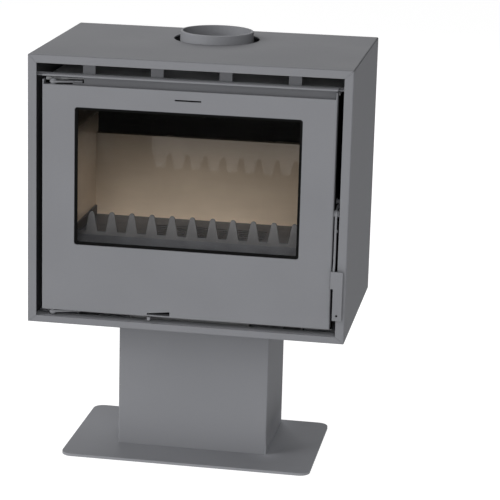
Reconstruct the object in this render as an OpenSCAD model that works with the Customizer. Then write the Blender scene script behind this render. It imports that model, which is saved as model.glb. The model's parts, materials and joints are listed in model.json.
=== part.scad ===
// Wood burning stove on a pedestal: a folded steel casing round a welded firebox, a glazed
// door hung on two pins, a side latch, a sliding air control and a top flue collar.
// The origin is the middle of the base plate's underside. Front is -Y and up is +Z.

/* [Casing] */
// Width of the outer casing
casing_w = 700; // [690:1:720]
// Depth of the outer casing
casing_d = 462; // [460:1:480]
// Height of the outer casing
casing_h = 594; // [590:1:610]
// Thickness of the casing sheet
sheet = 3; // [2:0.5:3]
// Width of the front flange at each side
side_flange = 19.5; // [16:0.5:22]
// Height of the front flange along the top
top_flange = 18; // [14:1:20]
// Height of the front flange along the bottom
bottom_flange = 15.5; // [14:0.5:17]
// Outside radius of the folded edges
fold_r = 3; // [2:0.5:4]

/* [Pedestal] */
// Width of the column
column_w = 340; // [300:5:380]
// Depth of the column
column_d = 234; // [220:2:244]
// Height of the column
column_h = 309; // [250:1:400]
// Width of the base plate
base_w = 562; // [500:2:620]
// Depth of the base plate
base_d = 344; // [340:2:380]
// Thickness of the base plate
base_t = 6; // [5:1:10]
// Radius of the base plate's corners
base_r = 24; // [4:1:30]
// How far the casing's front stands ahead of the base plate's front edge
front_overhang = 22; // [10:1:30]
// Distance from the casing's front to the middle of the column
column_back = 238; // [230:1:250]

/* [Flue] */
// Outside diameter of the flue collar
flue_od = 165; // [158:1:168]
// Inside diameter of the collar, for a 150 mm flue pipe
flue_id = 154; // [152:1:156]
// How far the collar stands out of the casing
flue_proud = 18; // [10:1:40]
// Diameter of the clearance hole in the casing top
flue_hole_d = 193; // [184:1:200]
// Distance from the casing's front to the flue's axis
flue_back = 330; // [325:1:331]

/* [Firebox] */
// Distance from the casing's front to the firebox's front plate
firebox_front = 36; // [36:1:38]
// Outside width of the firebox
firebox_w = 636; // [630:1:638]
// Distance from the casing's front to the firebox's back
firebox_back = 418; // [416:1:420]
// Thickness of the firebox plate
plate = 4; // [3:0.5:4]
// Height of the hearth's surface above the casing's underside
hearth_z = 155; // [153:1:157]
// Thickness of the side lining panels
side_lining = 22; // [18:1:22]
// Distance from the casing's front to the face of the back lining panel
back_lining_y = 390; // [388:1:392]
// Height of the back lining panel's top edge
back_lining_top = 349; // [340:1:360]

/* [Log guard] */
// Number of teeth
guard_teeth = 13; // [9:2:13]
// Distance between teeth
guard_pitch = 45; // [40:1:45]
// Height of the teeth
guard_tooth_h = 44.5; // [35:0.5:48]
// Distance from the casing's front to the guard
guard_y = 75; // [72:1:76]

/* [Door] */
// Width of the door
door_w = 635; // [630:1:637]
// Depth of the door's folded edge
door_d = 20; // [18:1:20]
// Height of the door's bottom edge
door_z0 = 31; // [31:0.5:32]
// Height of the top edge of the door's face
door_z1 = 531; // [530:0.5:532]
// Width of the window
window_w = 492; // [480:1:494]
// Height of the window's bottom edge
window_z0 = 181.5; // [180:0.5:184]
// Height of the window's top edge
window_z1 = 484.5; // [480:0.5:486]
// Radius of the window's corners
window_r = 6; // [3:1:8]
// Diameter of the hinge pins
pin_d = 8; // [6:0.5:8]

/* [Latch] */
// Height of the latch pivot
latch_z = 285; // [280:1:290]
// Width of the grip plate
grip_w = 26.5; // [22:0.5:27]
// Height of the grip plate
grip_h = 108; // [100:1:112]

/* [Air control] */
// Width of the control lever
lever_w = 6; // [5:1:8]
// Travel of the control lever
lever_travel = 43; // [30:1:43]

/* [Hidden] */

$fn = 48;
// Clearance between parts that only lie beside each other
gap = 0.3;
// Radial clearance of a pin that turns in its hole
fit = 0.05;
// Overshoot of a cut past the surface it opens
cut = 1;

// Heights and distances from here on are in the casing's own frame:
// X from its middle, Y back from its front, Z up from its underside
casing_x = casing_w / 2;
casing_in_x = casing_x - sheet;
opening_x = casing_x - side_flange;
casing_z = base_t + column_h;
casing_y = -base_d / 2 - front_overhang;
rear_flange = 15;
// Shares of a mitre line that its seam starts and ends at, past the sheet on both sides
mitre_run = [-0.2, 3];

firebox_x = firebox_w / 2;
firebox_in_x = firebox_x - plate;
firebox_top = casing_h - 53;
firebox_floor = 76;
firebox_apron = 20;
front_back = firebox_front + plate;
fire_x = 268;
fire_z = [168, 504];
ash_x = 150;
ash_z = [84, 142];
lining_x = firebox_in_x - side_lining;
lining_top = 470;
sill_z = 168;
sill_back = 80;
grate_x = 150;
grate_y = [140, 330];
hearth_t = 8;

door_x = door_w / 2;
rail_z = [door_z1, door_z1 + 21];
rail_web_y = 14;
lip_back = 32;
hinge_x = -295;
hinge_y = 9.5;
hinge_cut_x = -229;
upper_bracket_z = door_z1 + 3.5;
lower_bracket_z = door_z0 - 6.5;
bracket_t = 4;
seal_x = 277;
seal_z = [66, 514];
rope_r = 6;
rope_y = firebox_front - gap - rope_r;
frame_wall = 2;
frame_half = 10;
frame_back = 31;
glass_edge = 9;
glass_y = [7, 11];
gasket_in = 6;
boss_out = 15;
retainer_y = 11.3;
retainer_t = 2;

latch_y = 11;
latch_x = [door_x + 3, door_x + 7.5];
grip_y = [-8, -4];
grip_x = [317, 317 + grip_w];
grip_top = 162;
grip_screw_x = 332.5;
grip_screw_z = grip_top - grip_h + 11;
grip_screw_d = 5;
grip_step_z = 124;
grip_step = 6;

lever_x = -81;
lever_z = [23, 30];
slide_y = [80, 180];
slide_z = [firebox_floor - plate - 3.4, firebox_floor - plate - 0.4];
air_box_x = 134;
air_box_y = [60, 300];
port_w = 24;
port_pitch = 64;
port_l = 60;
spigot_d = 80;
slot_pitch = 148.5;
slot_w = 121;

// Colours
paint = [0.50, 0.51, 0.53];
dark_paint = [0.20, 0.20, 0.21];
soot = [0.10, 0.10, 0.10];
cast = [0.28, 0.28, 0.29];
lining = [0.62, 0.54, 0.45];
zinc = [0.70, 0.70, 0.68];
rope = [0.12, 0.12, 0.12];

// ---------------------------------------------------------------- helpers

// Places the casing's own frame in the object's frame
module in_casing() {
  translate([0, casing_y, casing_z]) children();
}

// Block given by its range along each axis
module block(x, y, z) {
  translate([x[0], y[0], z[0]]) cube([x[1] - x[0], y[1] - y[0], z[1] - z[0]]);
}

// Block that is symmetrical about X = 0
module wide(x, y, z) {
  block([-x, x], y, z);
}

// Rectangle from corner to corner, with round corners
module round_rect(p, q, r) {
  translate([p[0] + r, p[1]]) square([q[0] - p[0] - 2 * r, q[1] - p[1]]);
  translate([p[0], p[1] + r]) square([q[0] - p[0], q[1] - p[1] - 2 * r]);
  for (x = [p[0] + r, q[0] - r], z = [p[1] + r, q[1] - r]) translate([x, z]) circle(r);
}

// Flat shape drawn in X and Z, made solid between two Y values
module front_plate(y) {
  translate([0, y[1], 0]) rotate([90, 0, 0]) linear_extrude(y[1] - y[0]) children();
}

// Flat shape drawn in Y and Z, made solid between two X values
module side_plate(x) {
  translate([x[0], 0, 0]) rotate([90, 0, 90]) linear_extrude(x[1] - x[0]) children();
}

// Block with its long edges rounded as a folded sheet's are, front and sides
module folded_block(x, y, z, r) {
  intersection() {
    front_plate(y) round_rect([-x, z[0]], [x, z[1]], r);
    side_plate([-x, x]) round_rect([y[0], z[0]], [y[1] + 2 * r, z[1]], r);
    translate([0, 0, z[0]]) linear_extrude(z[1] - z[0])
      round_rect([-x, y[0]], [x, y[1] + 2 * r], r);
  }
}

// Closed loop of round bar in the XZ plane, with bent corners
module round_loop(x, z, y, bend, r) {
  h = z[1] - z[0];
  translate([0, y, (z[0] + z[1]) / 2]) rotate([90, 0, 0]) {
    for (s = [-1, 1]) {
      translate([s * x, 0, 0]) rotate([90, 0, 0]) cylinder(r = r, h = h - 2 * bend, center = true);
      translate([0, s * h / 2, 0]) rotate([0, 90, 0])
        cylinder(r = r, h = 2 * x - 2 * bend, center = true);
    }
    for (i = [0 : 3]) {
      sx = (i == 0 || i == 3) ? 1 : -1;
      sy = (i < 2) ? 1 : -1;
      translate([sx * (x - bend), sy * (h / 2 - bend), 0]) rotate([0, 0, 90 * i])
        rotate_extrude(angle = 90) translate([bend, 0]) circle(r);
    }
  }
}

// Ring shaped frame in the XZ plane: outside and inside half widths and heights
module frame(x_out, z_out, x_in, z_in, y) {
  difference() {
    wide(x_out, y, z_out);
    wide(x_in, [y[0] - cut, y[1] + cut], z_in);
  }
}

// Hexagon headed bolt pointing up, its head's top face at z = 0
module hex_bolt(d, length, across, head) {
  cylinder(d = d, h = length);
  translate([0, 0, -head]) cylinder(d = across / cos(30), h = head, $fn = 6);
}

module hex_nut(d, across, height) {
  difference() {
    cylinder(d = across / cos(30), h = height, $fn = 6);
    translate([0, 0, -cut]) cylinder(d = d, h = height + 2 * cut);
  }
}

// Pan headed screw pointing along +Y, its head's underside at y = 0
module pan_screw(d, length) {
  rotate([-90, 0, 0]) {
    cylinder(d = d, h = length);
    difference() {
      translate([0, 0, -0.6 * d]) cylinder(d = 2 * d, h = 0.6 * d);
      translate([0, 0, -0.6 * d - cut]) cylinder(d = d, h = cut + 0.3 * d, $fn = 6);
    }
  }
}

// ---------------------------------------------------------------- pedestal

column_screw_x = column_w / 2 - 17;
column_screw_y = column_d / 2 - 17;

// Places a child at each of the column's four fixing points, in the casing's frame
module at_column_screws(z) {
  for (sx = [-1, 1], sy = [-1, 1])
    translate([sx * column_screw_x, column_back + sy * column_screw_y, z]) children();
}

module base_plate() {
  color(paint) difference() {
    linear_extrude(base_t)
      round_rect([-base_w / 2, -base_d / 2], [base_w / 2, base_d / 2], base_r);
    in_casing() at_column_screws(-casing_z - cut) {
      cylinder(d = 8.4, h = base_t + 2 * cut);
      cylinder(d1 = 18.6, d2 = 8.6, h = 5 + cut);
    }
  }
}

module pedestal_column() {
  x = column_w / 2;
  y = [column_back - column_d / 2, column_back + column_d / 2];
  lip = 34;
  duct_d = 110;
  color(paint) in_casing() difference() {
    translate([0, 0, -column_h]) linear_extrude(column_h) round_rect([-x, y[0]], [x, y[1]], fold_r);
    wide(x - sheet, [y[0] + sheet, y[1] - sheet], [-column_h + sheet, -sheet]);
    wide(x - lip, [y[0] + lip, y[1] - lip], [-column_h - cut, cut]);
    translate([0, y[1] - sheet - cut, -column_h + 90]) rotate([-90, 0, 0])
      cylinder(d = duct_d, h = sheet + 2 * cut);
    at_column_screws(-column_h - cut) cylinder(d = 8.4, h = column_h + 2 * cut);
  }
}

module base_plate_screws() {
  color(zinc) in_casing() at_column_screws(-casing_z + 0.5) {
    cylinder(d1 = 16, d2 = 8, h = 4);
    cylinder(d = 8, h = base_t + sheet + 8);
  }
}

module base_plate_nuts() {
  color(zinc) in_casing() at_column_screws(-column_h + sheet) hex_nut(8, 13, 6.5);
}

module pedestal_bolts() {
  color(zinc) in_casing() at_column_screws(-sheet) hex_bolt(8, 2 * sheet + 9, 13, 5.3);
}

module pedestal_nuts() {
  color(zinc) in_casing() at_column_screws(sheet) hex_nut(8, 13, 6.5);
}

// ---------------------------------------------------------------- casing

// Point on the mitre line of a casing corner: share 0 at the corner, 1 at the opening
function mitre(s, top, share) = [s * (casing_x - side_flange * share),
  top ? casing_h - top_flange * share : bottom_flange * share];

// The folded shell that the four panels make together
module casing_shell() {
  back_x = casing_x - rear_flange;
  difference() {
    folded_block(casing_x, [0, casing_d], [0, casing_h], fold_r);
    wide(casing_in_x, [sheet, casing_d - sheet], [sheet, casing_h - sheet]);
    wide(opening_x, [-cut, sheet + cut], [bottom_flange, casing_h - top_flange]);
    wide(back_x, [casing_d - sheet - cut, casing_d + cut], [rear_flange, casing_h - rear_flange]);
    at_rear_screws() rotate([90, 0, 0]) cylinder(d = 4.2, h = sheet + 2 * cut);
    // open seams along the four mitres
    for (s = [-1, 1], top = [false, true]) {
      p = mitre(s, top, mitre_run[0]);
      q = mitre(s, top, mitre_run[1]);
      translate([p[0], -cut, p[1]]) rotate([0, -atan2(q[1] - p[1], q[0] - p[0]), 0])
        translate([0, 0, -gap / 2]) cube([norm(q - p), casing_d + 2 * cut, gap]);
    }
  }
}

// The part of the shell between two mitres, each given as [side, at the top]
module casing_panel(m, n) {
  intersection() {
    casing_shell();
    front_plate([-cut, casing_d + cut]) polygon([mitre(m[0], m[1], mitre_run[0]),
      mitre(m[0], m[1], mitre_run[1]), mitre(n[0], n[1], mitre_run[1]), mitre(n[0], n[1], mitre_run[0])]);
  }
}

module casing_top_panel() {
  color(paint) in_casing() difference() {
    casing_panel([-1, true], [1, true]);
    translate([0, flue_back, casing_h - sheet - cut])
      cylinder(d = flue_hole_d, h = sheet + 2 * cut, $fn = 96);
  }
}

module casing_bottom_panel() {
  color(paint) in_casing() difference() {
    casing_panel([-1, false], [1, false]);
    translate([0, column_back, -cut]) cylinder(d = spigot_d + 3, h = sheet + 2 * cut);
    at_column_screws(-cut) cylinder(d = 8.4, h = sheet + 2 * cut);
    for (s = [-1, 1], i = [0 : 5])
      translate([s * 270 - 30, 90 + i * 52, -cut]) cube([60, 8, sheet + 2 * cut]);
  }
}

module casing_left_panel() {
  color(paint) in_casing() casing_panel([-1, true], [-1, false]);
}

module casing_right_panel() {
  color(paint) in_casing() casing_panel([1, true], [1, false]);
}

rear_t = 1.5;
rear_y = [casing_d + gap, casing_d + gap + rear_t];

// Places a child at each rear panel screw, on the casing's back face
module at_rear_screws() {
  x = casing_x - rear_flange / 2 - 2;
  z = [rear_flange / 2 + 2, casing_h - rear_flange / 2 - 2];
  for (s = [-1, 1], i = [0 : 3])
    translate([s * x, casing_d + cut, z[0] + 12 + i * (z[1] - z[0] - 24) / 3]) children();
  for (s = [-1, 1], h = z) translate([s * 170, casing_d + cut, h]) children();
}

module rear_panel() {
  x = casing_x - 5;
  color(paint) in_casing() difference() {
    front_plate(rear_y) round_rect([-x, 5], [x, casing_h - 5], 4);
    for (row = [0 : 7], col = [-2 : 2], top = [0, 1])
      translate([col * 116 - 45, rear_y[0] - cut, (top ? 440 : 50) + row * 13])
        cube([90, rear_t + 2 * cut, 5]);
    at_rear_screws() rotate([-90, 0, 0]) cylinder(d = 4.4, h = 4 * cut, center = true);
  }
}

module rear_panel_screws() {
  color(zinc) in_casing() at_rear_screws()
    translate([0, rear_y[1] - casing_d - cut, 0]) rotate([0, 0, 180]) pan_screw(4, 8);
}

module vent_grille() {
  shelf_z = rail_z[1] - 5.8;
  shelf_y = 18;
  upright_y = [34, 36];
  slot_end = casing_in_x - 6;
  color(paint) in_casing() difference() {
    union() {
      wide(casing_in_x - gap, [shelf_y, upright_y[1]], [shelf_z, shelf_z + 2.5]);
      wide(casing_in_x - gap, upright_y, [shelf_z, casing_h - sheet - gap]);
    }
    for (i = [-2 : 2])
      block([max(i * slot_pitch - slot_w / 2, -slot_end), min(i * slot_pitch + slot_w / 2, slot_end)],
        [upright_y[0] - cut, upright_y[1] + cut], [shelf_z + 5, shelf_z + 37]);
  }
}

module lower_sill() {
  x = casing_in_x - gap;
  color(paint) in_casing() {
    wide(x, [sheet + gap, firebox_front - 2], [12.5, 15]);
    wide(x, [firebox_front - 4.5, firebox_front - 2], [sheet + gap, 12.5]);
  }
}

// ---------------------------------------------------------------- firebox

module firebox_support_rails() {
  z = [sheet, firebox_floor - plate];
  y = [60, 400];
  color(dark_paint) in_casing() for (s = [-1, 1]) difference() {
    translate([s * 230, 0, 0]) wide(22, y, z);
    translate([s * 230, 0, 0]) translate([s * -3, 0, 0])
      wide(22, [y[0] - cut, y[1] + cut], [z[0] + 3, z[1] - 3]);
  }
}

module firebox_body() {
  back = firebox_back - plate;
  color(dark_paint) in_casing() difference() {
    union() {
      wide(firebox_x, [firebox_front, firebox_back], [firebox_floor - plate, firebox_top]);
      wide(firebox_x, [firebox_front, front_back], [firebox_apron, firebox_top]);
    }
    difference() {
      wide(firebox_in_x, [front_back, back], [firebox_floor, firebox_top - plate]);
      // raised sill behind the fire opening, which the log guard stands on
      wide(firebox_in_x, [front_back - cut, sill_back], [sill_z - plate, sill_z]);
      wide(firebox_in_x, [sill_back - plate, sill_back], [hearth_z - hearth_t, sill_z]);
      // ledges that carry the hearth plate and the side lining
      for (s = [-1, 1]) block(s > 0 ? [lining_x - 12, firebox_x] : [-firebox_x, 12 - lining_x],
        [sill_back - plate, back + cut], [hearth_z - hearth_t - plate, hearth_z - hearth_t]);
    }
    wide(fire_x, [firebox_front - cut, front_back + cut], fire_z);
    wide(ash_x, [firebox_front - cut, front_back + cut], ash_z);
    block([lever_x - 4, lever_x + lever_w + lever_travel + 4],
      [firebox_front - cut, front_back + cut], [firebox_apron - cut, lever_z[1] + 2]);
    for (i = [-1 : 1]) translate([i * port_pitch - port_w / 2, 100, firebox_floor - plate - cut])
      cube([port_w, port_l, plate + 2 * cut]);
    translate([0, flue_back, firebox_top - plate - cut])
      cylinder(d = flue_id, h = plate + 2 * cut, $fn = 96);
  }
}

module flue_collar() {
  h = casing_h + flue_proud - firebox_top;
  color(paint) in_casing() translate([0, flue_back, firebox_top]) difference() {
    union() {
      rotate_extrude($fn = 96) polygon([[60, 0], [flue_od / 2, 0], [flue_od / 2, h - 1.2],
        [flue_od / 2 - 1.2, h], [60, h]]);
      cylinder(d = flue_od + 12, h = 4, $fn = 96);
    }
    translate([0, 0, -cut]) cylinder(d = flue_id - 6, h = h + 2 * cut, $fn = 96);
    translate([0, 0, 6]) cylinder(d = flue_id, h = h, $fn = 96);
  }
}

module baffle_plate() {
  color(lining) in_casing()
    wide(firebox_in_x - gap, [140, firebox_back - plate - gap], [lining_top + gap, lining_top + 20]);
}

module back_lining_panel() {
  color(lining) in_casing()
    wide(lining_x - gap, [back_lining_y, firebox_back - plate - gap], [hearth_z + gap, back_lining_top]);
}

module side_lining_panel(s) {
  x = s > 0 ? [lining_x, firebox_in_x - gap] : [gap - firebox_in_x, -lining_x];
  color(lining) in_casing()
    block(x, [front_back + gap, firebox_back - plate - gap], [hearth_z - hearth_t, lining_top]);
}

module left_lining_panel() {
  difference() {
    side_lining_panel(-1);
    sill_notch();
  }
}

module right_lining_panel() {
  difference() {
    side_lining_panel(1);
    sill_notch();
  }
}

// Room for the raised sill in the front lower corner of a side panel
module sill_notch() {
  in_casing() wide(firebox_x, [front_back - cut, sill_back + gap],
    [hearth_z - hearth_t - cut, sill_z + gap]);
}

module hearth_plate() {
  y = [sill_back + gap, firebox_back - plate - gap];
  z = [hearth_z - hearth_t, hearth_z];
  x = lining_x - gap;
  color(cast) in_casing() {
    difference() {
      wide(x, y, z);
      wide(grate_x, grate_y, [z[0] + hearth_t / 2, z[1] + cut]);
      wide(grate_x - 8, [grate_y[0] + 8, grate_y[1] - 8], [z[0] - cut, z[1]]);
    }
    for (s = [-1, 1]) block(s > 0 ? [x - 4, x] : [-x, 4 - x],
      [y[0], back_lining_y - gap], [hearth_z, hearth_z + 22]);
  }
}

module ash_grate() {
  x = grate_x - gap;
  y = [grate_y[0] + gap, grate_y[1] - gap];
  slot = [80, 9];
  pitch = [90, 17];
  color(cast) in_casing() difference() {
    wide(x, y, [hearth_z - hearth_t / 2, hearth_z + 2]);
    for (i = [-1 : 1], j = [-4.5 : 4.5])
      translate([i * pitch[0], (y[0] + y[1]) / 2 + j * pitch[1], hearth_z])
        cube([slot[0], slot[1], 2 * hearth_t], center = true);
  }
}

module ash_pan() {
  x = 140;
  y = [44, 345];
  z = [firebox_floor + gap, ash_z[1] - 4];
  t = 1.5;
  color(zinc) in_casing() {
    difference() {
      wide(x, y, z);
      wide(x - t, [y[0] + t, y[1] - t], [z[0] + t, z[1] + cut]);
    }
    wide(45, [y[0] - 4, y[0]], [z[1] - 12, z[1] - 10]);
    wide(45, [y[0] - 4, y[0] - 3], [z[1] - 20, z[1] - 10]);
  }
}

// Toothed plate with a sloping apron down to the sill
module log_guard() {
  x = lining_x - 7;
  t = 4;
  root_z = sill_z + 27;
  tip_r = 6;
  root_w = 13.5;
  color(cast) in_casing() {
    front_plate([guard_y, guard_y + t]) {
      translate([-x, sill_z + gap]) square([2 * x, root_z - sill_z - gap]);
      for (i = [0 : guard_teeth - 1]) translate([(i - (guard_teeth - 1) / 2) * guard_pitch, 0]) {
        polygon([[-root_w, root_z - 1], [root_w, root_z - 1],
          [tip_r, root_z + guard_tooth_h - tip_r], [-tip_r, root_z + guard_tooth_h - tip_r]]);
        translate([0, root_z + guard_tooth_h - tip_r]) circle(tip_r);
      }
    }
    side_plate([-x, x]) polygon([[guard_y + t, root_z - 12], [guard_y + t, root_z - 8],
      [guard_y, root_z - 8], [front_back + gap, sill_z + 4], [front_back + gap, sill_z + gap],
      [front_back + 6, sill_z + gap]]);
  }
}

// ---------------------------------------------------------------- air control

module air_box() {
  t = 1.5;
  z = [sheet + gap, firebox_floor - plate - gap];
  color(dark_paint) in_casing() difference() {
    wide(air_box_x, air_box_y, z);
    wide(air_box_x - t, [air_box_y[0] + t, air_box_y[1] - t], [z[0] + t, z[1] + cut]);
    block([lever_x - 4, lever_x + lever_w + lever_travel + 4],
      [air_box_y[0] - cut, air_box_y[0] + t + cut], [lever_z[0] - 2, lever_z[1] + 2]);
    translate([0, column_back, 0]) cylinder(d = spigot_d + 1.6, h = 10);
  }
}

module air_inlet_spigot() {
  below = 45;
  flange_z = sheet + gap + 1.5;
  color(dark_paint) in_casing() translate([0, column_back, 0]) difference() {
    union() {
      translate([0, 0, -below]) cylinder(d = spigot_d, h = below, $fn = 64);
      translate([0, 0, -cut]) cylinder(d = spigot_d + 1, h = cut + flange_z, $fn = 64);
      translate([0, 0, flange_z]) cylinder(d = spigot_d + 20, h = 1.5, $fn = 64);
    }
    translate([0, 0, -below - cut]) cylinder(d = spigot_d - 4, h = below + 10, $fn = 64);
  }
}

module air_slide_guides() {
  x = air_box_x - 8;
  z = slide_z[0] - gap;
  color(zinc) in_casing() for (s = [0, 1]) {
    y = s ? slide_y[1] + gap : slide_y[0] - gap - 3;
    wide(x, [y, y + 3], [z - 3, firebox_floor - plate]);
    wide(x, [y - (s ? 4 : 0), y + 3 + (s ? 0 : 4)], [z - 3, z]);
  }
}

module air_slide_plate() {
  reach = (port_pitch + port_w / 2) + 6;
  color(zinc) in_casing() difference() {
    block([-reach - lever_travel, reach], slide_y, slide_z);
    for (i = [-1 : 1])
      translate([i * port_pitch - port_w / 2 - lever_travel, 100, slide_z[0] - cut])
        cube([port_w, port_l, 3 + 2 * cut]);
  }
}

module air_lever() {
  x = [lever_x, lever_x + lever_w];
  front = -3;
  back = slide_y[0] + 24;
  color(paint) in_casing() {
    block(x, [front, back], lever_z);
    block(x, [back - 8, back], [lever_z[0], slide_z[0]]);
  }
}

// ---------------------------------------------------------------- hinges

// Arm of a hinge bracket, seen from above: pin eye at the left, foot on the firebox at the right
module hinge_arm(z) {
  eye_r = 8;
  color(paint) in_casing() translate([0, 0, z]) difference() {
    linear_extrude(bracket_t) {
      translate([hinge_x, hinge_y]) circle(eye_r);
      polygon([[hinge_x, hinge_y - eye_r], [hinge_cut_x - 5, 19], [hinge_cut_x - 5, firebox_front],
        [hinge_x + 33, firebox_front], [hinge_x + 19, 22], [hinge_x, hinge_y + eye_r]]);
    }
    translate([hinge_x, hinge_y, -cut]) cylinder(r = pin_d / 2 + fit, h = bracket_t + 2 * cut);
  }
}

module upper_hinge_bracket() {
  hinge_arm(upper_bracket_z);
}

module lower_hinge_bracket() {
  hinge_arm(lower_bracket_z);
}

// Hinge pin pointing up, with a domed head whose flat is at z = 0
module hinge_pin(length) {
  dome_r = 7.7;
  dome_h = 6;
  cylinder(d = pin_d, h = length);
  intersection() {
    translate([0, 0, dome_r - dome_h]) sphere(r = dome_r);
    translate([0, 0, -dome_h - cut]) cylinder(d = pin_d + 7, h = dome_h + cut);
  }
}

module upper_hinge_pin() {
  color(zinc) in_casing()
    translate([hinge_x, hinge_y, upper_bracket_z + bracket_t]) mirror([0, 0, 1]) hinge_pin(34);
}

module lower_hinge_pin() {
  color(zinc) in_casing() translate([hinge_x, hinge_y, lower_bracket_z]) hinge_pin(30);
}

module hinge_washers() {
  upper_z = [door_z1 + 2 * gap, upper_bracket_z];
  lower_z = [lower_bracket_z + bracket_t, door_z0 - gap];
  color(zinc) in_casing() for (z = [upper_z, lower_z])
    translate([hinge_x, hinge_y, z[0]]) difference() {
      cylinder(d = pin_d + 4, h = z[1] - z[0]);
      translate([0, 0, -cut]) cylinder(d = pin_d + 2 * fit, h = 6);
    }
}

// ---------------------------------------------------------------- door

window_x = window_w / 2;

// Places a child at each retainer boss round the glass, on the door's inner face
module at_bosses() {
  x = window_x + boss_out;
  z = [window_z0 - boss_out, window_z1 + boss_out];
  for (s = [-1, 1], i = [-1 : 1])
    translate([s * x, 0, (z[0] + z[1]) / 2 + i * 110]) children();
  for (h = z, i = [-1 : 1]) translate([i * 170, 0, h]) children();
}

module door_panel() {
  t = sheet;
  side_top = door_z1 + 10;
  boss_y = [t, retainer_y];
  wedge = [[lever_x - 1, door_z0 + 4], [lever_x + 49, door_z0 + 3.4],
    [lever_x + 49, door_z0 + 13], [lever_x - 1, door_z0 + 7.4]];
  color(paint) in_casing() difference() {
    union() {
      difference() {
        folded_block(door_x, [0, door_d], [door_z0, door_z1 + 22], fold_r);
        wide(door_x - t, [t, door_d + cut], [door_z0 + t, door_z1 - t]);
        wide(door_x - t, [-cut, door_d + cut], [door_z1, door_z1 + 30]);
        block([-door_x - cut, 0], [-cut, door_d + cut], [side_top, door_z1 + 30]);
        block([0, door_x + cut], [-cut, door_d + cut], [door_z1 + 14.7, door_z1 + 30]);
        wide(door_x - t, [rail_web_y, door_d + cut], [door_z1 - t - cut, door_z1 + cut]);
      }
      at_bosses() translate([0, boss_y[0] - 0.5, 0]) rotate([-90, 0, 0])
        cylinder(d = 8, h = boss_y[1] - boss_y[0] + 0.5);
    }
    front_plate([-cut, t + cut]) round_rect([-window_x, window_z0], [window_x, window_z1], window_r);
    wide(28.4, [-cut, t + cut], [door_z1 - 22, door_z1 - 18.7]);
    front_plate([-cut, t + cut]) polygon(wedge);
    at_bosses() translate([0, boss_y[0], 0]) rotate([-90, 0, 0]) cylinder(d = 3.4, h = 12);
    translate([hinge_x, hinge_y, 0]) cylinder(r = pin_d / 2 + 0.4, h = casing_h);
    translate([door_x - t - cut, latch_y, latch_z]) rotate([0, 90, 0])
      cylinder(d = 10, h = t + 2 * cut);
  }
}

// Folded rail that closes the door's top: web, and the lip that covers the gap to the casing
module door_top_rail() {
  lip_z = [rail_z[1] - 3, rail_z[1]];
  web_y = [rail_web_y, rail_web_y + 3];
  color(paint) in_casing() {
    block([hinge_cut_x, door_x - sheet - gap], web_y, [rail_z[0] - sheet, lip_z[0]]);
    // tongue that runs on under the hinge bracket
    block([hinge_cut_x - 25, hinge_cut_x + 1], web_y, [rail_z[0] - sheet, upper_bracket_z - gap]);
    translate([0, 0, lip_z[0]]) linear_extrude(lip_z[1] - lip_z[0])
      polygon([[-door_x, 0], [door_x, 0], [door_x, lip_back], [hinge_x + 35, lip_back], [-door_x, 14]]);
  }
}

// Channel section frame inside the door that holds the rope seal
module door_seal_frame() {
  x = [seal_x - frame_half, seal_x + frame_half];
  z_out = [seal_z[0] - frame_half, seal_z[1] + frame_half];
  z_in = [seal_z[0] + frame_half, seal_z[1] - frame_half];
  w = frame_wall;
  web_y = rope_y - rope_r - w;
  color(dark_paint) in_casing() difference() {
    frame(x[1], z_out, x[0], z_in, [sheet, frame_back]);
    frame(x[1] - w, [z_out[0] + w, z_out[1] - w], x[0] + w, [z_in[0] - w, z_in[1] + w],
      [web_y + w, frame_back + cut]);
    frame(x[1] - w, [z_out[0] + w, z_out[1] - w], x[0] + w, [z_in[0] - w, z_in[1] + w],
      [sheet - cut, web_y]);
  }
}

// Inner skin of the door below the glass
module door_lower_shield() {
  x = seal_x - frame_half - gap;
  z = [seal_z[0] + frame_half + gap, window_z0 - boss_out - 8];
  color(dark_paint) in_casing() {
    wide(x, [18, 19.5], z);
    for (h = [z[0], z[1] - 1.5]) wide(x, [sheet + gap, 18], [h, h + 1.5]);
  }
}

module door_hinge_blocks() {
  z = [[door_z1 - sheet - 24, door_z1 - sheet], [door_z0 + sheet, door_z0 + sheet + 22]];
  color(zinc) in_casing() for (h = z) difference() {
    block([hinge_x - 8, hinge_x + 7.7], [sheet, hinge_y + 7.5], h);
    translate([hinge_x, hinge_y, h[0] - cut]) cylinder(r = pin_d / 2 + fit, h = 30);
  }
}

module door_rope_seal() {
  color(rope) in_casing() round_loop(seal_x, seal_z, rope_y, 14, rope_r);
}

module door_glass() {
  color([0.25, 0.22, 0.20, 0.35]) in_casing() front_plate(glass_y)
    round_rect([-window_x - glass_edge, window_z0 - glass_edge],
      [window_x + glass_edge, window_z1 + glass_edge], 3);
}

module glass_gasket() {
  color(rope) in_casing() difference() {
    front_plate([sheet, glass_y[0]])
      round_rect([-window_x - glass_edge, window_z0 - glass_edge],
        [window_x + glass_edge, window_z1 + glass_edge], 3);
    front_plate([sheet - cut, glass_y[0] + cut])
      round_rect([-window_x + gasket_in, window_z0 + gasket_in],
        [window_x - gasket_in, window_z1 - gasket_in], 3);
  }
}

// Four strips that clamp the glass against its gasket
module glass_retainers() {
  y = [retainer_y, retainer_y + retainer_t];
  x = [window_x + 1, window_x + boss_out + 5];
  z = [window_z0 - boss_out - 4, window_z0 - 1];
  color(dark_paint) in_casing() difference() {
    union() {
      for (s = [-1, 1]) block(s > 0 ? x : [-x[1], -x[0]], y, [window_z0 + 14, window_z1 - 14]);
      for (top = [0, 1]) wide(window_x - 24, y,
        top ? [window_z1 + 1, window_z1 + boss_out + 4] : z);
    }
    at_bosses() rotate([-90, 0, 0]) cylinder(d = 4.4, h = 30);
  }
}

module glass_retainer_screws() {
  color(zinc) in_casing() at_bosses() translate([0, retainer_y + retainer_t, 0])
    mirror([0, 1, 0]) pan_screw(3.4, 7.5);
}

// ---------------------------------------------------------------- latch

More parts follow.
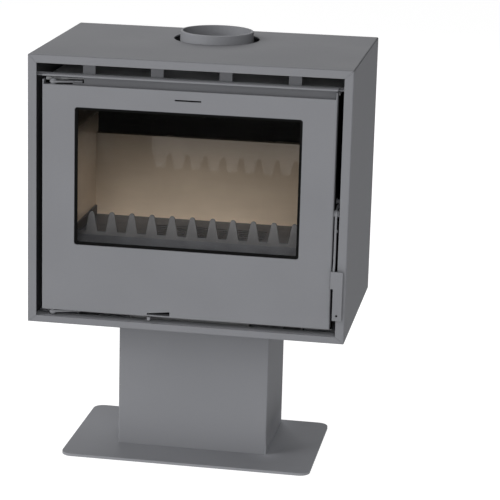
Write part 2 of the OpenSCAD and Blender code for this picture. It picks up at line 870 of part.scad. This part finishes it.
// Shoulder bolt that the latch lever turns on, through the door's side
module latch_pivot_bolt() {
  shank = 10 - 2 * fit;
  color(zinc) in_casing() translate([0, latch_y, latch_z]) rotate([0, 90, 0]) {
    translate([0, 0, door_x]) cylinder(d = shank, h = latch_x[1] - door_x + gap);
    translate([0, 0, door_x - 11]) cylinder(d = 9.8, h = 11);
    translate([0, 0, latch_x[1] + gap]) cylinder(d1 = 16, d2 = 13, h = 3.2);
    translate([0, 0, door_x - 10]) cylinder(d = 16 / cos(30), h = 7, $fn = 6);
  }
}

module latch_spacer() {
  color(zinc) in_casing() translate([door_x, latch_y, latch_z]) rotate([0, 90, 0]) difference() {
    cylinder(d = 15, h = latch_x[0] - door_x - gap);
    translate([0, 0, -cut]) cylinder(d = 10, h = 6);
  }
}

striker_y = 46;
striker_z = latch_z + 19;
striker_r = 4;

module striker_stud() {
  color(zinc) in_casing() translate([firebox_x, striker_y, striker_z]) rotate([0, 90, 0]) {
    cylinder(r = striker_r, h = latch_x[1] - firebox_x + 1.5);
    cylinder(r = 7, h = 1.6);
    translate([0, 0, latch_x[1] - firebox_x + 1.5]) cylinder(r = 5, h = 1.5);
  }
}

// Flat lever: hook under the striker, eye on the pivot, and the long arm down to the grip
module latch_lever() {
  hook_top = striker_z - striker_r - 0.6;
  tab_t = 2.6;
  tab_x = grip_x[0] + grip_step + 2;
  arm = [[latch_y - 8, latch_z], [latch_y + 5, latch_z], [latch_y + 3, grip_top + 30],
    [latch_y + 1, grip_top], [latch_y + 1, grip_step_z + 14], [grip_y[1], grip_step_z + 3],
    [grip_y[1], grip_top], [latch_y - 9, grip_top + 22]];
  hook = [[latch_y - 6, latch_z + 5], [latch_y + 4, latch_z - 8], [striker_y + 11, hook_top - 14],
    [striker_y + 11, hook_top], [striker_y + 6, hook_top], [striker_y + 5, hook_top - 4],
    [striker_y - 5, hook_top - 4], [striker_y - 8, hook_top - 1]];
  color(paint) in_casing() difference() {
    side_plate(latch_x) {
      translate([latch_y, latch_z]) circle(9);
      polygon(arm);
      polygon(hook);
    }
    translate([latch_x[0] - cut, latch_y, latch_z]) rotate([0, 90, 0])
      cylinder(d = 10, h = latch_x[1] - latch_x[0] + 2 * cut);
  }
  // strip that runs down behind the grip plate and takes its screw
  color(paint) in_casing() difference() {
    union() {
      block([latch_x[0], grip_x[1] - 3], [grip_y[1], grip_y[1] + tab_t], [grip_step_z + 4, grip_top - 4]);
      block([tab_x, grip_x[1] - 3], [grip_y[1], grip_y[1] + tab_t], [grip_screw_z - 8, grip_step_z + 5]);
    }
    translate([grip_screw_x, grip_y[1] - cut, grip_screw_z]) rotate([-90, 0, 0])
      cylinder(d = grip_screw_d, h = tab_t + 2 * cut);
  }
  // small stop stud on the lever's outer face
  color(zinc) in_casing() translate([latch_x[1], latch_y - 5, latch_z - 37]) rotate([0, 90, 0])
    cylinder(d = 6, h = 2);
}

module latch_grip_plate() {
  z = [grip_top - grip_h, grip_top];
  color(paint) in_casing() difference() {
    front_plate(grip_y) {
      round_rect([grip_x[0] + grip_step, z[0]], [grip_x[1], z[1]], 1.5);
      round_rect([grip_x[0], grip_step_z], [grip_x[1], z[1]], 1.5);
    }
    translate([grip_screw_x, grip_y[0] - cut, grip_screw_z]) rotate([-90, 0, 0])
      cylinder(d = grip_screw_d, h = 4 + 2 * cut);
  }
}

module grip_plate_screw() {
  color(zinc) in_casing()
    translate([grip_screw_x, grip_y[0] + 1.2, grip_screw_z]) rotate([-90, 0, 0]) difference() {
      cylinder(d = grip_screw_d, h = 6);
      translate([0, 0, -cut]) cylinder(d = 2.6, h = cut + 1.6, $fn = 6);
    }
}

base_plate();
pedestal_column();
base_plate_screws();
base_plate_nuts();
pedestal_bolts();
pedestal_nuts();
casing_top_panel();
casing_bottom_panel();
casing_left_panel();
casing_right_panel();
rear_panel();
rear_panel_screws();
vent_grille();
lower_sill();
firebox_support_rails();
firebox_body();
flue_collar();
baffle_plate();
back_lining_panel();
left_lining_panel();
right_lining_panel();
hearth_plate();
ash_grate();
ash_pan();
log_guard();
air_box();
air_inlet_spigot();
air_slide_guides();
air_slide_plate();
air_lever();
upper_hinge_bracket();
lower_hinge_bracket();
upper_hinge_pin();
lower_hinge_pin();
hinge_washers();
striker_stud();
door_panel();
door_top_rail();
door_seal_frame();
door_lower_shield();
door_hinge_blocks();
door_rope_seal();
door_glass();
glass_gasket();
glass_retainers();
glass_retainer_screws();
latch_pivot_bolt();
latch_spacer();
latch_lever();
latch_grip_plate();
grip_plate_screw();
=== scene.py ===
"""Wood burning stove: materials, floor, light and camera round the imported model.

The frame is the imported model's own: metres, front -Y, up +Z, origin under the base plate.
"""
import json
import math

import bpy
from mathutils import Matrix, Vector


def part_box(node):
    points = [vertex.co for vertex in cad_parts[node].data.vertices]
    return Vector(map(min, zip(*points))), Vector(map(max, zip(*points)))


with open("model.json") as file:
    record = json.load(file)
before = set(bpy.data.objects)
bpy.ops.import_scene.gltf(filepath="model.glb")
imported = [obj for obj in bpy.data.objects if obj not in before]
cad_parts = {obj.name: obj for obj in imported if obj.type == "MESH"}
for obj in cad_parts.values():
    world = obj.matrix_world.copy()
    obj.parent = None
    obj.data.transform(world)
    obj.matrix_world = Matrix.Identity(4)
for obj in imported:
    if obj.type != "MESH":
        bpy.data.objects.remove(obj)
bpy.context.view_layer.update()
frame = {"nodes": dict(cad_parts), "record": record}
NODES = frame["nodes"]


# ------------------------------------------------------------------ material helpers

# How far from a named height or depth a face may lie and still be on it
LEVEL_TOLERANCE = 0.0004
# How square to an axis a normal is where its face begins to count, and where it counts in full
SLOPED, SQUARE = 0.90, 0.97
# Sockets of a Mix node that mixes colours: its share, its two colours and its result
MIX_SHARE, MIX_UNDER, MIX_OVER, MIX_RESULT = 0, 6, 7, 2


class Shader:
    """One procedural material, most often built round a Principled shader."""

    def __init__(self, name):
        self.material = bpy.data.materials.new(name)
        self.material.use_nodes = True
        self.tree = self.material.node_tree
        self.tree.nodes.clear()
        self.output = self.node("OutputMaterial")
        self.place = self.node("TexCoord").outputs["Object"]

    def fill(self, socket, value):
        """Link a socket to another, or set it to a plain value."""
        if isinstance(value, bpy.types.NodeSocket):
            self.tree.links.new(value, socket)
        else:
            socket.default_value = value

    def node(self, kind, inputs=None, **settings):
        """A shader node with its inputs filled."""
        made = self.tree.nodes.new("ShaderNode" + kind)
        for key, value in settings.items():
            setattr(made, key, value)
        for key, value in (inputs or {}).items():
            self.fill(made.inputs[key], value)
        return made

    def surface(self, **values):
        """The Principled shader, joined to the output."""
        names = {key.replace("_", " "): value for key, value in values.items()}
        made = self.node("BsdfPrincipled", names)
        self.tree.links.new(made.outputs["BSDF"], self.output.inputs["Surface"])

    def split(self):
        """The place's three coordinates, in the object's frame."""
        return self.node("SeparateXYZ", {"Vector": self.place}).outputs

    def split_normal(self):
        """The normal's three coordinates, in the object's frame."""
        return self.node("SeparateXYZ", {"Vector": self.node("TexCoord").outputs["Normal"]}).outputs

    def facing(self, axis, sign):
        """1 on faces square to that side of an axis, 0 on every slope."""
        return self.spread(self.split_normal()[axis], 0.0, 1.0, sign * SLOPED, sign * SQUARE)

    def on_face(self, axis, level, sign):
        """1 on faces that lie at a level of an axis and look to that side of it."""
        at_level = self.math("COMPARE", self.split()[axis], level, LEVEL_TOLERANCE)
        return self.math("MULTIPLY", at_level, self.facing(axis, sign))

    def noise(self, size, detail, stretch=(1, 1, 1)):
        """Noise whose features are about size metres across, from 0 to 1."""
        scaled = self.node("Mapping", {"Vector": self.place, "Scale": Vector(stretch) / size})
        made = self.node("TexNoise", {"Vector": scaled.outputs[0], "Scale": 1.0, "Detail": detail})
        return made.outputs["Fac"]

    def cells(self, size):
        """Distance to the nearest of scattered points about size metres apart."""
        scaled = self.node("Mapping", {"Vector": self.place, "Scale": Vector((1, 1, 1)) / size})
        return self.node("TexVoronoi", {"Vector": scaled.outputs[0], "Scale": 1.0}).outputs["Distance"]

    def spread(self, value, low, high, start=0.3, end=0.7):
        """low where value is start, high where it is end, and straight between them."""
        inputs = {"Value": value, "From Min": start, "From Max": end, "To Min": low, "To Max": high}
        return self.node("MapRange", inputs).outputs[0]

    def ramp(self, value, first, last):
        """Colour from first to last as value goes from 0 to 1."""
        made = self.node("ValToRGB", {"Fac": value})
        for element, colour in zip(made.color_ramp.elements, (first, last)):
            element.color = (*colour, 1)
        return made.outputs["Color"]

    def mixed(self, share, under, over):
        """Colour under, with that share of colour over on it."""
        made = self.node("Mix", data_type="RGBA")
        self.fill(made.inputs[MIX_SHARE], share)
        for place, colour in ((MIX_UNDER, under), (MIX_OVER, over)):
            self.fill(made.inputs[place], (*colour, 1) if isinstance(colour, tuple) else colour)
        return made.outputs[MIX_RESULT]

    def math(self, operation, *values):
        """The result of one operation on numbers."""
        return self.node("Math", dict(enumerate(values)), operation=operation).outputs[0]

    def bump(self, height, depth, under=None):
        """Normal from a height of 0 to 1, depth metres deep, on top of the normal under it."""
        inputs = {"Height": height, "Distance": depth}
        if under is not None:
            inputs["Normal"] = under
        return self.node("Bump", inputs).outputs["Normal"]

    def soft_edges(self, radius):
        """Normal that rounds the sharp edges of folded and cut sheet."""
        return self.node("Bevel", {"Radius": radius}, samples=4).outputs["Normal"]


def shade(colour, factor):
    """The colour, that many times as bright."""
    return tuple(c * factor for c in colour)


# ------------------------------------------------------------------ materials

# Painted light: the paint is paler from the floor up to this height, where the casing shades the column and
# base plate
PAINTED_LIGHT_TOP_Z = 0.28
# Height of each level ledge with painted light on it, and how much paler than the paint the painted light
# makes it
PAINTED_LIGHT_LEDGES = {
    "casing_floor": (0.318, 4.0),
    "door_sill": (0.330, 2.0),
    "vent_shelf": (0.8637, 2.4),
    "door_lip": (0.867, 2.0),
}
# Painted shade on the back of the groove under the door's lip
GROOVE_Y = -0.180
# How far painted light reaches from the corner between the column's right side and the base plate,
# and how strong it is on the plate, where the column's side has 1; it stands in for light in the corner's
# shade
CORNER_LIGHT_REACH = 0.06
CORNER_LIGHT_ON_PLATE = 0.28
# Painted light makes the paint paler within a ball round the flue collar, whose middle is at this height;
# the ball stays clear of the casing's top
FLUE_LIGHT_Z = 0.905
FLUE_LIGHT_RADIUS = 0.09


def corner_painted_light(m):
    """Painted light, 1 in the corner along the foot of the column's right side where shade falls, thinning
    out to 0.
    """
    low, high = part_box("pedestal_column")
    place = m.split()
    from_middle = m.math("ABSOLUTE", m.math("SUBTRACT", place["Y"], (low.y + high.y) / 2))
    gaps = (
        m.math("SUBTRACT", place["X"], high.x),
        m.math("MAXIMUM", m.math("SUBTRACT", from_middle, (high.y - low.y) / 2), 0.0),
        m.math("SUBTRACT", place["Z"], low.z),
    )
    gap = m.node("CombineXYZ", dict(enumerate(gaps))).outputs[0]
    distance = m.node("VectorMath", {0: gap}, operation="LENGTH").outputs["Value"]
    near = m.spread(distance, 1.0, 0.0, 0.0, CORNER_LIGHT_REACH)
    normal = m.split_normal()
    lit_share = m.math("ADD", normal["X"], m.math("MULTIPLY", normal["Z"], CORNER_LIGHT_ON_PLATE))
    return m.math("MULTIPLY", m.math("POWER", near, 2.0), lit_share)


def flue_painted_light(m):
    """1 within the ball of painted light round the flue collar, else 0."""
    low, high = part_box("flue_collar")
    middle = ((low.x + high.x) / 2, (low.y + high.y) / 2, FLUE_LIGHT_Z)
    distance = m.node("VectorMath", {0: m.place, 1: middle}, operation="DISTANCE").outputs["Value"]
    return m.math("LESS_THAN", distance, FLUE_LIGHT_RADIUS)


def casing_paint():
    """Satin grey stove paint: grain, faint unevenness, painted shade in the groove, painted light low, on
    ledges and at the flue.
    """
    grey = (0.165, 0.168, 0.179)
    m = Shader("casing_paint")
    cloud = m.noise(0.16, 2.0)
    grain = m.noise(0.0011, 2.0)
    speck = m.noise(0.0035, 1.0)
    patchy = m.spread(cloud, 0.8, 1.0)
    tone = m.ramp(m.spread(cloud, 0.0, 1.0), shade(grey, 0.972), shade(grey, 1.028))
    tone = m.mixed(m.spread(grain, 0.0, 0.10), tone, shade(grey, 0.55))
    # painted shade on the back of the groove under the door's lip, where the lip's shadow falls
    groove_shade = m.on_face("Y", GROOVE_Y, -1)
    tone = m.mixed(m.math("MULTIPLY", groove_shade, patchy), tone, shade(grey, 0.70))
    # painted light: paler towards the floor, standing in for light under the casing's shade
    tone = m.mixed(m.spread(m.split()["Z"], 0.55, 0.0, 0.0, PAINTED_LIGHT_TOP_Z), tone, shade(grey, 1.4))
    # painted light on level ledges that lie in shade under the door, the lip and the vent
    for level, pale in PAINTED_LIGHT_LEDGES.values():
        on_ledge = m.on_face("Z", level, 1)
        tone = m.mixed(m.math("MULTIPLY", on_ledge, patchy), tone, shade(grey, pale))
    # painted light in the shade of the corner at the foot of the column's right side
    tone = m.mixed(corner_painted_light(m), tone, shade(grey, 3.0))
    # painted light round the flue collar, which the casing's top hides from the floor's light
    flue_light = m.math("MULTIPLY", flue_painted_light(m), m.spread(cloud, 0.75, 0.95))
    tone = m.mixed(flue_light, tone, shade(grey, 1.5))
    m.surface(
        Base_Color=tone,
        Roughness=m.math("ADD", m.spread(cloud, 0.74, 0.80), m.spread(speck, -0.03, 0.03)),
        Normal=m.bump(grain, 0.00006, under=m.bump(speck, 0.00005, under=m.soft_edges(0.0009))),
        Specular_IOR_Level=0.12,
    )
    return m.material


# Height just inside the firebox's top plate: over it a pale primer that is partly painted light, and clean
# iron; soot under it
FIREBOX_TOP_Z = 0.8495
# Height just over the firebox's lower edge: under it the air box and the rails are painted light grey,
# standing in for light in the shade under the door
LIT_FOOT_Z = 0.3365


def firebox_paint():
    """Matt stove paint on plate: sooty black, a pale primer on top that is partly painted light, and a foot
    painted light grey.
    """
    m = Shader("firebox_paint")
    dust = m.noise(0.05, 4.0)
    grain = m.noise(0.0016, 3.0)
    height = m.split()["Z"]
    uneven = m.spread(dust, 0.0, 1.0)
    soot = m.ramp(uneven, (0.0020, 0.0020, 0.0019), (0.0040, 0.0039, 0.0037))
    # the primer is made pale as painted light on a top plate that lies in shade behind the vent slots
    primer_and_light = m.ramp(uneven, (0.44, 0.445, 0.455), (0.51, 0.515, 0.525))
    tone = m.mixed(m.math("GREATER_THAN", height, FIREBOX_TOP_Z), soot, primer_and_light)
    # painted light: light grey on the foot, which lies in shade under the door
    tone = m.mixed(m.math("LESS_THAN", height, LIT_FOOT_Z), tone, (0.27, 0.272, 0.28))
    m.surface(
        Base_Color=tone,
        Roughness=m.spread(dust, 0.70, 0.85),
        Normal=m.bump(grain, 0.00012, under=m.soft_edges(0.0008)),
        Specular_IOR_Level=0.03,
    )
    return m.material


def cast_iron():
    """Dark cast iron: pebbled sand-cast skin and grey bloom, with soot in the fire chamber and pale ash on
    level faces there that is partly painted light.
    """
    m = Shader("cast_iron")
    pebbles = m.cells(0.0028)
    skin = m.noise(0.0014, 3.0)
    bloom = m.noise(0.035, 3.0)
    tone = m.ramp(m.spread(bloom, 0.0, 1.0), (0.145, 0.146, 0.156), (0.185, 0.186, 0.197))
    in_chamber = m.math("LESS_THAN", m.split()["Z"], FIREBOX_TOP_Z)
    tone = m.mixed(m.math("MULTIPLY", in_chamber, 0.44), tone, (0.02, 0.02, 0.022))
    flat_top = m.math("MULTIPLY", in_chamber, m.facing("Z", 1))
    # pale ash on level faces in the chamber, partly painted light on the hearth that lies in shade behind
    # the guard
    ash_and_light = m.math("MULTIPLY", flat_top, m.spread(bloom, 0.27, 0.43))
    tone = m.mixed(ash_and_light, tone, (0.31, 0.36, 0.45))
    height = m.math("ADD", m.math("MULTIPLY", pebbles, 0.6), m.math("MULTIPLY", skin, 0.4))
    m.surface(
        Base_Color=tone,
        Roughness=m.spread(skin, 0.46, 0.62),
        Normal=m.bump(height, 0.00025, under=m.soft_edges(0.0012)),
        Specular_IOR_Level=0.5,
    )
    return m.material


# Painted shade on the lining starts at the hearth and is full at a height over the back panel's top edge.
# The side panels are the lining that lies further out than SIDE_LINING_X. Each power says how late
# on its way up a panel darkens.
HEARTH_Z = 0.47
FULL_SHADE_Z = 0.72
SIDE_LINING_X = 0.2915
BACK_SHADE_POWER, SIDE_SHADE_POWER = 0.6, 2.8


def lining_board():
    """Pressed mineral board, tan and glazed smooth, with flakes in it; painted shade darkens it towards the
    top.
    """
    tan = (0.98, 0.81, 0.64)
    m = Shader("lining_board")
    place = m.split()
    height = m.spread(place["Z"], 0.0, 1.0, HEARTH_Z, FULL_SHADE_Z)
    aside = m.math("GREATER_THAN", m.math("ABSOLUTE", place["X"]), SIDE_LINING_X)
    # painted shade: the lining darkens towards the top of the chamber, where less light reaches
    top_shade = m.math("POWER", height, m.spread(aside, BACK_SHADE_POWER, SIDE_SHADE_POWER, 0.0, 1.0))
    flakes = m.cells(0.0042)
    cloud = m.noise(0.11, 3.0)
    streak = m.noise(0.02, 2.0, stretch=(0.35, 0.35, 2.4))
    tone = m.ramp(m.spread(cloud, 0.0, 1.0), shade(tan, 0.93), shade(tan, 1.05))
    tone = m.mixed(m.spread(streak, 0.0, 0.14), tone, shade(tan, 0.78))
    tone = m.mixed(m.spread(flakes, 0.10, 0.0, 0.0, 0.5), tone, shade(tan, 1.05))
    tone = m.mixed(top_shade, tone, shade(tan, 0.05))
    m.surface(
        Base_Color=tone,
        Roughness=m.spread(flakes, 0.02, 0.03, 0.0, 0.8),
        Normal=m.bump(flakes, 0.000003, under=m.soft_edges(0.0012)),
        Specular_IOR_Level=0.32,
    )
    return m.material


def zinc_steel():
    """Dull zinc plating with the fine lines of rolled and turned steel."""
    m = Shader("zinc_steel")
    lines = m.noise(0.0009, 2.0, stretch=(1.0, 1.0, 6.0))
    spangle = m.cells(0.006)
    m.surface(
        Base_Color=m.ramp(m.spread(spangle, 0.0, 1.0, 0.1, 0.7), (0.33, 0.33, 0.34), (0.42, 0.42, 0.42)),
        Metallic=1.0,
        Roughness=m.spread(lines, 0.42, 0.55),
        Normal=m.bump(lines, 0.00002, under=m.soft_edges(0.0004)),
    )
    return m.material


# Width of one strand of the door's seal
STRAND = 0.0030


def seal_rope():
    """Braided black glass-fibre rope: crossing strands a few millimetres wide, with a fibre fuzz."""
    m = Shader("seal_rope")
    place = m.split()
    ridges = [
        m.math("ABSOLUTE", m.math("SINE", m.math("MULTIPLY", way, math.pi / STRAND)))
        for way in (m.math("ADD", place["X"], place["Z"]), m.math("SUBTRACT", place["X"], place["Z"]))
    ]
    weave = m.math("MAXIMUM", *ridges)
    fibre = m.noise(0.0005, 2.0)
    m.surface(
        Base_Color=m.ramp(weave, (0.002, 0.002, 0.002), (0.006, 0.006, 0.006)),
        Roughness=0.85,
        Normal=m.bump(m.math("ADD", weave, m.math("MULTIPLY", fibre, 0.3)), 0.0006),
        Specular_IOR_Level=0.03,
    )
    return m.material


def fire_glass():
    """Clear ceramic glass in a thin pane: a warm tint, a mirror at grazing angles, a trace of haze."""
    m = Shader("fire_glass")
    haze = m.noise(0.09, 3.0)
    tint = m.ramp(m.spread(haze, 0.0, 1.0), (0.955, 0.95, 0.94), (0.98, 0.975, 0.965))
    through = m.node("BsdfTransparent", {"Color": tint})
    mirror = m.node("BsdfGlossy", {"Color": (1, 1, 1, 1), "Roughness": 0.02})
    edge = m.node("Fresnel", {"IOR": 1.05})
    joined = m.node("MixShader", {0: edge.outputs[0], 1: through.outputs[0], 2: mirror.outputs[0]})
    m.tree.links.new(joined.outputs[0], m.output.inputs["Surface"])
    return m.material


SLOTS = {
    "casing_paint": casing_paint(),
    "firebox_paint": firebox_paint(),
    "cast_iron": cast_iron(),
    "lining_board": lining_board(),
    "zinc_steel": zinc_steel(),
    "seal_rope": seal_rope(),
    "fire_glass": fire_glass(),
}
for part in frame["record"]["subparts"]:
    for material_slot in NODES[part["node"]].material_slots:
        material_slot.material = SLOTS[part["material_slot"]]

# ------------------------------------------------------------------ floor and light

FLOOR_SIZE = 40.0
FLOOR_GLOW = 0.94
# The studio's white, as light on the stove and as the camera sees it past the floor's edge
WORLD_STRENGTH = 0.12
SEEN_STRENGTH = 1.1
# Where the softboxes look
STOVE_MIDDLE = Vector((0, 0, 0.46))
# For each softbox: the direction it stands in, its distance and its size, and its brightness,
# the value that it gives to a white matt face turned to it
SOFTBOXES = {
    "front_softbox": ((0.20, -0.95, 0.42), 5.0, 3.0, 0.34),
    "low_softbox": ((-0.15, -0.98, 0.10), 5.0, 2.6, 0.26),
    "left_softbox": ((-0.85, -0.35, 0.55), 9.0, 5.4, 0.67),
    "back_softbox": ((-0.15, 0.85, 0.55), 5.0, 3.0, 0.50),
}


def quad(name, size, material):
    """A level square of that size, its middle at the origin."""
    half = size / 2
    corners = [(-half, -half, 0), (half, -half, 0), (half, half, 0), (-half, half, 0)]
    mesh = bpy.data.meshes.new(name)
    mesh.from_pydata(corners, [], [(0, 1, 2, 3)])
    mesh.materials.append(material)
    made = bpy.data.objects.new(name, mesh)
    bpy.context.scene.collection.objects.link(made)
    return made


def studio_floor():
    """White sweep lit from within, as a light table is, so that it has no hard shadow."""
    m = Shader("studio_floor")
    m.surface(
        Base_Color=m.ramp(m.noise(0.8, 2.0), (0.19, 0.19, 0.19), (0.21, 0.21, 0.21)),
        Roughness=0.9,
        Emission_Color=(1, 1, 1, 1),
        Emission_Strength=FLOOR_GLOW,
    )
    return m.material


def studio_world():
    """Dim white light from all round, which looks as white as the floor past the floor's edge."""
    made = bpy.data.worlds.new("studio")
    made.use_nodes = True
    nodes, links = made.node_tree.nodes, made.node_tree.links
    light = nodes["Background"]
    seen = nodes.new("ShaderNodeBackground")
    for background, strength in ((light, WORLD_STRENGTH), (seen, SEEN_STRENGTH)):
        background.inputs["Color"].default_value = (1, 1, 1, 1)
        background.inputs["Strength"].default_value = strength
    ray = nodes.new("ShaderNodeLightPath")
    joined = nodes.new("ShaderNodeMixShader")
    links.new(ray.outputs["Is Camera Ray"], joined.inputs[0])
    links.new(light.outputs[0], joined.inputs[1])
    links.new(seen.outputs[0], joined.inputs[2])
    links.new(joined.outputs[0], nodes["World Output"].inputs["Surface"])
    return made


def softbox(name, direction, distance, size, brightness):
    """Square area light that looks at the stove's middle from that direction."""
    towards = Vector(direction).normalized()
    data = bpy.data.lights.new(name, "AREA")
    data.size = size
    data.energy = brightness * math.pi**2 * distance**2
    made = bpy.data.objects.new(name, data)
    made.location = STOVE_MIDDLE + towards * distance
    made.rotation_euler = towards.to_track_quat("Z", "Y").to_euler()
    bpy.context.scene.collection.objects.link(made)


quad("studio_floor", FLOOR_SIZE, studio_floor())
scene = bpy.context.scene
scene.world = studio_world()
scene.view_settings.view_transform = "Standard"
for box_name, box_settings in SOFTBOXES.items():
    softbox(box_name, *box_settings)

# ------------------------------------------------------------------ camera

# The camera turns left by yaw, down by pitch, and leans by roll
CAMERA_PLACE = (0.8352, -4.5119, 1.6607)
CAMERA_YAW = math.radians(10.390)
CAMERA_PITCH = math.radians(14.760)
CAMERA_ROLL = math.radians(1.24)
CAMERA_LENS_MM = 152.35
CAMERA_SENSOR_MM = 36.0
CAMERA_SHIFT = 0.09
CAMERA_REACH = 100.0

forward = Vector(
    (
        -math.sin(CAMERA_YAW) * math.cos(CAMERA_PITCH),
        math.cos(CAMERA_YAW) * math.cos(CAMERA_PITCH),
        -math.sin(CAMERA_PITCH),
    )
)
level_right = Vector((math.cos(CAMERA_YAW), math.sin(CAMERA_YAW), 0))
level_up = level_right.cross(forward)
right = math.cos(CAMERA_ROLL) * level_right + math.sin(CAMERA_ROLL) * level_up
up = right.cross(forward)
camera_data = bpy.data.cameras.new("camera")
camera_data.lens = CAMERA_LENS_MM
camera_data.sensor_width = CAMERA_SENSOR_MM
camera_data.shift_x = CAMERA_SHIFT
camera_data.clip_end = CAMERA_REACH
camera = bpy.data.objects.new("camera", camera_data)
turned = Matrix((right, up, -forward)).transposed().to_4x4()
camera.matrix_world = Matrix.Translation(CAMERA_PLACE) @ turned
scene.collection.objects.link(camera)
scene.camera = camera
